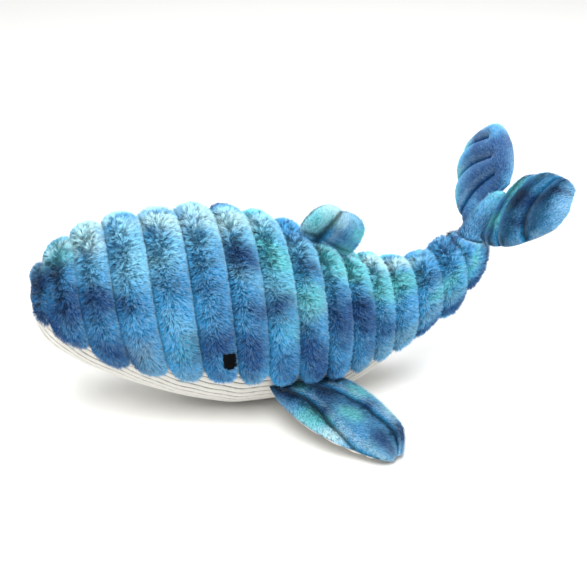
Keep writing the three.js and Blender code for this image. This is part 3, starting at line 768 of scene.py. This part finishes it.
def sewn_rows(rows, lengthwise=True):
    """How far across its channel a place on a limb is, 0 at one row of stitches, 1 at the next.

    The table holds a place along the limb, then where each row is across it, or the other way.
    """
    read = curve_through(rows)

    def crossed(s, v):
        place, run, first = (v, s, -1) if lengthwise else (s, v, 0)
        stitches = np.moveaxis(read(run), -1, 0)
        bounds = np.stack([2 * first - stitches[0], *stitches, 2 - stitches[-1]])
        at = np.clip((place >= bounds).sum(0) - 1, 0, len(bounds) - 2)
        low, high = (np.take_along_axis(bounds, (at + k)[None], 0)[0] for k in (0, 1))
        return np.clip((place - low) / np.maximum(high - low, 1e-4), 0, 1)

    return crossed


def limb_rise(limb, s, v, channels=None):
    """Half thickness of a limb, its fullness within each channel, and the way across that."""
    bulk = curve_through(limb["outline"])(s)[..., 2]
    crown = np.sqrt(np.maximum(1 - np.abs(v) ** 2.6, 0))
    full = (limb["thickness"] - limb_seam) / 2 * np.maximum(bulk, 0) * crown
    crossed = channels(s, v) if channels else np.full_like(s, 0.5)
    lobe = np.maximum(np.sin(math.pi * crossed), 0) ** 0.4
    # The seam is pinched thinner at the root
    seam = limb_seam / 2 * np.minimum(0.45 + 0.55 * s / 0.12, 1)
    return seam + full * (1 - channel_depth + channel_depth * lobe), lobe, crossed


def limb_dye(limb_dabs, s, v):
    """How strong each dye is at a place on a limb."""
    strengths = np.zeros((len(dyes), *s.shape))
    for kind, dye in enumerate(dyes):
        for along, across, reach, full in limb_dabs.get(dye, []):
            strength = full * np.exp(-((s - along) ** 2 + ((v - across) / 2) ** 2) / reach**2)
            strengths[kind] = 1 - (1 - strengths[kind]) * (1 - strength)
    return strengths


def furry_cloth(name, limb, side, channels, limb_dabs, seed):
    """A plush cloth of a limb, with its pile, on the upper or the lower side."""
    rows, columns = 60, 64
    tip_share, side_share = 0.985, 0.96
    s = np.linspace(limb.get("start", 0), tip_share, rows)[:, None] + np.zeros((1, columns))
    v = -np.cos(np.linspace(0, math.pi, columns))[None, :] * side_share + np.zeros((rows, 1))
    rise, lobe, crossed = limb_rise(limb, s, v, channels)
    # Each row of stitches draws the edge in a little
    drawn = v * (1 - 0.05 * (1 - lobe) * np.abs(v))
    s = s * (1 - 0.09 * (1 - lobe) * s**3)
    # The plush is turned in over the edge, which hides the lower cloth
    edge = np.maximum(np.abs(v), s)
    turned_in = limb.get("turn", 0) * np.clip((edge - 0.8) / 0.18, 0, 1) ** 2
    height = side * (np.maximum(rise - limb_inset, limb_least) - turned_in)
    outer = limb_points(limb, s, drawn, height)
    inner = limb_points(limb, s, drawn[:, ::-1], side * (0.0001 - turned_in[:, ::-1]))
    comb = comb_towards(outer, 0.8 * np.sign(v) * np.abs(v) ** 3, np.full(s.shape, 0.9))
    pile = np.clip(s * 12, 0.35, 1) * np.clip(0.25 + lobe, 0, 1)
    # Painted highlight towards the edges and on the lobes
    painted_light_and_shade = 0.3 * np.clip((edge - 0.86) / 0.1, 0, 1) * lobe + 0.05 * lobe
    # A painted highlight on one side of each row of stitches, and painted shade in the fold on both
    painted_light_and_shade = painted_light_and_shade + 0.4 * bell(crossed, 0.13, 0.06) - 1.3 * bell(crossed, 0, 0.05)
    painted_light_and_shade = painted_light_and_shade - 1.3 * bell(1 - crossed, 0, 0.09)
    made = shell(
        name,
        np.concatenate([outer, inner], 1),
        pile=np.pad(pile, ((0, 0), (0, columns))),
        comb=np.pad(comb, ((0, 0), (0, columns), (0, 0))),
        **dye_fields(limb_dye(limb_dabs, s, v), painted_light_and_shade, columns),
    )
    made.data.materials.append(plush)
    made = with_pile(made, seed, **limb_fur)
    return made


def roll_crest(index):
    """The middle of a roll's crest, in the dip under the fin."""
    share = (seam_shares[index] + seam_shares[index + 1]) / 2
    return skin(share, 0.0, cloth_lift + roll_puff * puff_shares[index] * 0.3)


fin_front, fin_rear = roll_crest(fin_rolls[0]), roll_crest(fin_rolls[-1])
fin_base = unit(fin_rear - fin_front)
fin_up = np.array([-fin_base[2], 0, fin_base[0]])
fin = {
    "root": fin_front + (fin_rear - fin_front) * 0.53 + fin_up * 0.0023,
    "along": fin_up, "across": fin_base, "hand": -1, "sag": 0.0012,
    "length": 0.036, "width": 0.052, "thickness": 0.019,
    "outline": [
        [0, 1.1, 0.9, 0], [0.2, 1.16, 1, 0.62], [0.55, 1.08, 1.02, 1], [0.85, 0.84, 0.86, 0.75],
        [1, 0.5, 0.5, 0],
    ],
}
fin_channels = sewn_rows([[0, -0.31], [1, -0.21]])
# Dabs of dye on a limb: shares along it and across it, reach and strength
fin_dabs = {
    "icy": [(0.75, -0.75, 0.3, 1), (0.4, -0.9, 0.3, 0.8), (0.95, -0.5, 0.3, 1)],
    "teal": [(0.5, -0.9, 0.4, 0.7), (0.6, 0.95, 0.25, 0.9), (0.1, 0.7, 0.2, 0.9)],
    "denim": [(0.4, 0.15, 0.22, 0.6)],
    "steel": [(0.75, 0.3, 0.2, 0.6)],
    "sky": [(0.95, 0.6, 0.2, 1)],
}
fin_left = furry_cloth("fin_left_plush", fin, 1, fin_channels, fin_dabs, 41)
fin_right = furry_cloth("fin_right_plush", fin, -1, fin_channels, fin_dabs, 42)
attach(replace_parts(fin_left, "dorsal_fin_left_panel", "dorsal_fin_fill"), "dorsal_fin")
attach(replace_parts(fin_right, "dorsal_fin_right_panel"), "dorsal_fin")

# Flippers
# A plush upper cloth with two rows of stitches, a corduroy lower cloth and a thin filling.
# Each is sewn to the belly just below the ends of the eighth to tenth rolls.
flipper_outline = [
    [0, 1.34, 0.98, 0.35], [0.18, 1.52, 1.08, 0.8], [0.5, 1.42, 1.16, 1],
    [0.8, 0.88, 0.98, 0.85], [0.95, 0.44, 0.5, 0.45], [1, 0.2, 0.24, 0],
]
# Its root: place along the body, angle from the crown in half turns, and width
flipper_share, flipper_turn, flipper_width = 0.59, 0.668, 0.062


def flipper(side):
    """The sizes and directions of a flipper, on the left for side -1."""

    def root_at(v):
        share = flipper_share + v * flipper_width / 2 / body_length
        return skin(share, side * flipper_turn * math.pi, 0.0001)

    middle = (root_at(1) + root_at(-1)) / 2
    return {
        "root": root_at(0), "along": [0.5, side * math.sqrt(1 - 0.5**2), -0.3],
        "across": root_at(1) - root_at(-1), "hand": -side,
        "sag": np.linalg.norm(root_at(0) - middle), "bow": -0.006, "camber": 0.004,
        "length": 0.108, "width": flipper_width, "thickness": 0.027,
        "outline": flipper_outline, "turn": 0.003,
    }


def corduroy_cloth(name, limb):
    """The corduroy lower cloth of a limb, with wales along it."""
    rows, columns = 40, 150
    s = np.linspace(limb.get("start", 0), 0.9, rows)[:, None] + np.zeros((1, columns))
    v = np.linspace(-1, 1, columns)[None, :] * 0.9 + np.zeros((rows, 1))
    flatter = limb_rise(limb, s, v)[0] * 0.7
    ridges = np.abs(np.cos(math.pi * limb_edge(limb, s, v) / wale_pitch)) ** wale_roundness
    low = np.maximum(flatter - wale_depth * (1 - ridges), 0.0006)
    outer = limb_points(limb, s, v, -low)
    inner = limb_points(limb, s, v[:, ::-1], np.full(s.shape, -0.0002))
    wales = np.concatenate([ridges, 0 * ridges], 1)
    made = shell(name, np.concatenate([outer, inner], 1), wale=wales)
    made.data.materials.append(corduroy)
    return made


# The front row of stitches runs out at the leading edge, and the rear one near the tip
flipper_channels = sewn_rows([
    [0, -0.9, -0.02], [0.18, -0.5, 0.24], [0.4, -0.56, 0.42],
    [0.62, -0.78, 0.46], [0.8, -0.97, 0.5], [1, -0.98, 0.52],
])
flipper_dabs = {
    "denim": [
        (0.12, -0.8, 0.15, 1), (0.26, -0.12, 0.14, 1), (0.84, -0.2, 0.17, 1),
        (0.83, 0.72, 0.14, 1), (0.45, 0.5, 0.09, 0.9), (0.4, -0.45, 0.07, 0.7),
        (0.06, 0.5, 0.08, 0.6),
    ],
    "teal": [
        (0.44, -0.85, 0.14, 1), (0.54, -0.2, 0.13, 1), (0.06, -0.4, 0.1, 0.8),
        (0.27, 0.65, 0.13, 0.9),
    ],
    "icy": [(0.6, -0.9, 0.12, 1), (0.54, -0.25, 0.1, 0.4), (0.64, 0.85, 0.13, 1)],
    "sky": [(0.62, -0.85, 0.18, 0.6), (0.5, 0.9, 0.16, 0.6)],
}


for side, word in ((-1, "left"), (1, "right")):
    limb, body = flipper(side), f"flipper_{word}"
    upper = furry_cloth(f"{body}_plush", limb, 1, flipper_channels, flipper_dabs, 50 + side)
    lower = corduroy_cloth(f"{body}_corduroy", limb)
    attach(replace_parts(upper, f"{body}_top", f"{body}_fill"), body)
    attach(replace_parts(lower, f"{body}_underside"), body)

# Flukes
# Made as the flippers are, with rows of stitches across them, on each side of a short plush
# piece that closes the end of the tail stock.
fluke_outline = [
    [0, 0.55, 0.78, 0], [0.15, 0.8, 0.86, 0.6], [0.3, 0.96, 0.86, 0.9], [0.5, 1.08, 0.78, 1],
    [0.65, 1.07, 0.66, 1], [0.8, 1, 0.5, 0.9], [0.93, 0.84, 0.26, 0.65], [1, 0.5, 0.02, 0.1],
]
tail_share = seam_shares[-1]
tail_end = skin(tail_share, math.pi / 2, -outline_at(tail_share)[2] * body_width / 2)
closing_axis, closing_length, closing_inset = np.array([0.52, 0, 0.854]), 0.048, 0.001
closing_at = curve_through([
    [0, 1, 1], [0.2, 0.9, 1.06], [0.5, 0.69, 0.98],
    [0.8, 0.5, 0.72], [0.95, 0.4, 0.5], [1, 0.24, 0.3],
])
height = np.linspace(0, 1, 24)[:, None]
angle = np.linspace(-math.pi, math.pi, 64, endpoint=False)[None, :]
wide, deep = np.moveaxis(closing_at(height + 0 * angle), -1, 0)
out = skin(tail_share, angle, cloth_lift - closing_inset) - tail_end
loops = out * np.stack([deep, wide, deep], -1) + tail_end
loops = loops + closing_axis * closing_length * height[..., None]
# Denim in a band near the tail, and teal towards the top
closing_dye = np.zeros((len(dyes), *loops.shape[:2]))
closing_dye[0] = 0.6 * bell(height, 0.3, 0.4)
closing_dye[1] = 0.5 * height
closing = shell(
    "fluke_root_plush",
    loops,
    pile=np.clip((1 - height) * 8, 0.4, 0.85) + 0 * angle,
    comb=comb_towards(loops, 0 * (height + angle), np.ones(loops.shape[:2])),
    # A slight painted highlight on the pile's tips all over
    **dye_fields(closing_dye, 0.1, 0),
)
closing.data.materials.append(plush)
closing = with_pile(closing, 61)
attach(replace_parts(closing, "fluke_root"), "tail_end")

# Shares across the fluke, then shares along it where each row of stitches is there
left_rows = sewn_rows([
    [-1, 0.15, 0.36, 0.655], [-0.1, 0.06, 0.26, 0.6],
    [0.5, 0.08, 0.31, 0.71], [1, 0.13, 0.41, 0.86],
], lengthwise=False)
right_rows = sewn_rows([
    [-1, 0.19, 0.574, 0.857], [-0.2, 0.25, 0.56, 0.84],
    [0.6, 0.2, 0.42, 0.74], [1, 0.17, 0.39, 0.72],
], lengthwise=False)


def right_channels(s, v):
    """On the right fluke the rows stop short of a plain band along the trailing edge."""
    crossed = right_rows(s, v)
    return crossed + (0.5 - crossed) * np.clip((v - 0.5) / 0.2, 0, 1)


fluke_channels = {-1: left_rows, 1: right_channels}
# Partly dye and partly painted light: the left fluke's dabs are paler and the right one's darker,
# as painted light and painted shade that even out how the lamps light the two
fluke_dabs = {
    -1: {
        "sky": [(0.5, 0.9, 0.14, 1), (0.1, 0.7, 0.12, 0.5), (0.85, -0.2, 0.14, 0.4)],
        "teal": [
            (0.2, 0.5, 0.16, 1), (0.2, -0.4, 0.16, 1), (0.37, -0.1, 0.07, 1),
            (0.4, -0.7, 0.1, 0.6),
        ],
        "denim": [
            (0.47, 0.1, 0.18, 1), (0.72, 0.1, 0.12, 0.9), (0.9, 0.4, 0.12, 0.8),
            (0.56, -0.5, 0.12, 0.7), (0.02, -0.2, 0.08, 0.5),
        ],
        "icy": [(0.92, -0.3, 0.12, 0.4)],
    },
    1: {
        "teal": [(0.4, -0.95, 0.14, 1), (0.68, -0.95, 0.16, 1), (0.86, -0.8, 0.12, 1)],
        "denim": [
            (0.06, 0.0, 0.22, 1), (0.2, 0.6, 0.22, 1), (0.42, 0.1, 0.18, 1), (0.66, 0.2, 0.16, 1),
            (0.5, 0.85, 0.18, 0.9), (0.88, 0.0, 0.14, 0.9), (0.12, -0.8, 0.18, 1),
            (0.5, 0.2, 0.5, 0.7),
        ],
        "steel": [(0.97, 0.3, 0.14, 0.8)],
    },
}
for side, word in ((-1, "left"), (1, "right")):
    limb = {
        "root": tail_end + np.array([0.015, side * 0.01, 0.0233]),
        "along": [0.343, side * 0.798, 0.495], "across": [0.578, -side * 0.153, 0.786],
        "hand": -side, "length": 0.104, "width": 0.076, "thickness": 0.028,
        "outline": fluke_outline, "turn": 0.003, "start": -0.014,
    }
    channels, limb_dabs = fluke_channels[side], fluke_dabs[side]
    body = f"fluke_{word}"
    upper = furry_cloth(f"{body}_plush", limb, 1, channels, limb_dabs, 70 + side)
    lower = corduroy_cloth(f"{body}_corduroy", limb)
    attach(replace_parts(upper, f"{body}_top", f"{body}_fill"), body)
    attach(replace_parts(lower, f"{body}_underside"), body)

# Table, light and camera
# A plain pale sweep under soft, even studio light, seen from where the photograph was taken.
bpy.ops.mesh.primitive_plane_add(size=12, location=(0, 0, -0.0002))
table = bpy.context.object
table.name = "table"
# Matt white paper, smooth and without grain
paper, _, _ = finish_of("pale_paper", {"Base Color": linear("#f4f4f2"), "Roughness": 0.9})
table.data.materials.append(paper)

scene = bpy.context.scene
scene.view_settings.view_transform = "Standard"
world = bpy.data.worlds.new("studio")
scene.world = world
world.use_nodes = True
background = world.node_tree.nodes["Background"].inputs
background["Color"].default_value = linear("#ffffff")
background["Strength"].default_value = 0.8


def lamp(name, place, aim, size, power):
    """A round soft light of that size in metres and power in watts."""
    data = bpy.data.lights.new(name, "AREA")
    data.shape, data.size, data.energy = "DISK", size, power
    made = bpy.data.objects.new(name, data)
    made.location = place
    made.rotation_euler = (Vector(aim) - Vector(place)).to_track_quat("-Z", "Y").to_euler()
    scene.collection.objects.link(made)


lamp("key_light", (-0.3, -0.9, 1.3), (0, 0, 0.08), 0.8, 21)
lamp("top_light", (0.4, 0.5, 1.4), (0, 0, 0.1), 0.9, 14)

# The camera's aim, its direction and distance from there, then the view in pixels
centre, away, distance = np.array([0.022, 0, 0.093]), np.array([-0.2039, -0.8831, 0.4226]), 1.143
picture_pixels, focal_pixels, sensor = 587, 1270, 36
data = bpy.data.cameras.new("camera")
data.sensor_width, data.lens = sensor, focal_pixels / picture_pixels * sensor
camera = bpy.data.objects.new("camera", data)
scene.collection.objects.link(camera)
camera.location = Vector(centre + away * distance)
camera.rotation_euler = (-Vector(away)).to_track_quat("-Z", "Y").to_euler()
scene.camera = camera

bpy.context.view_layer.update()
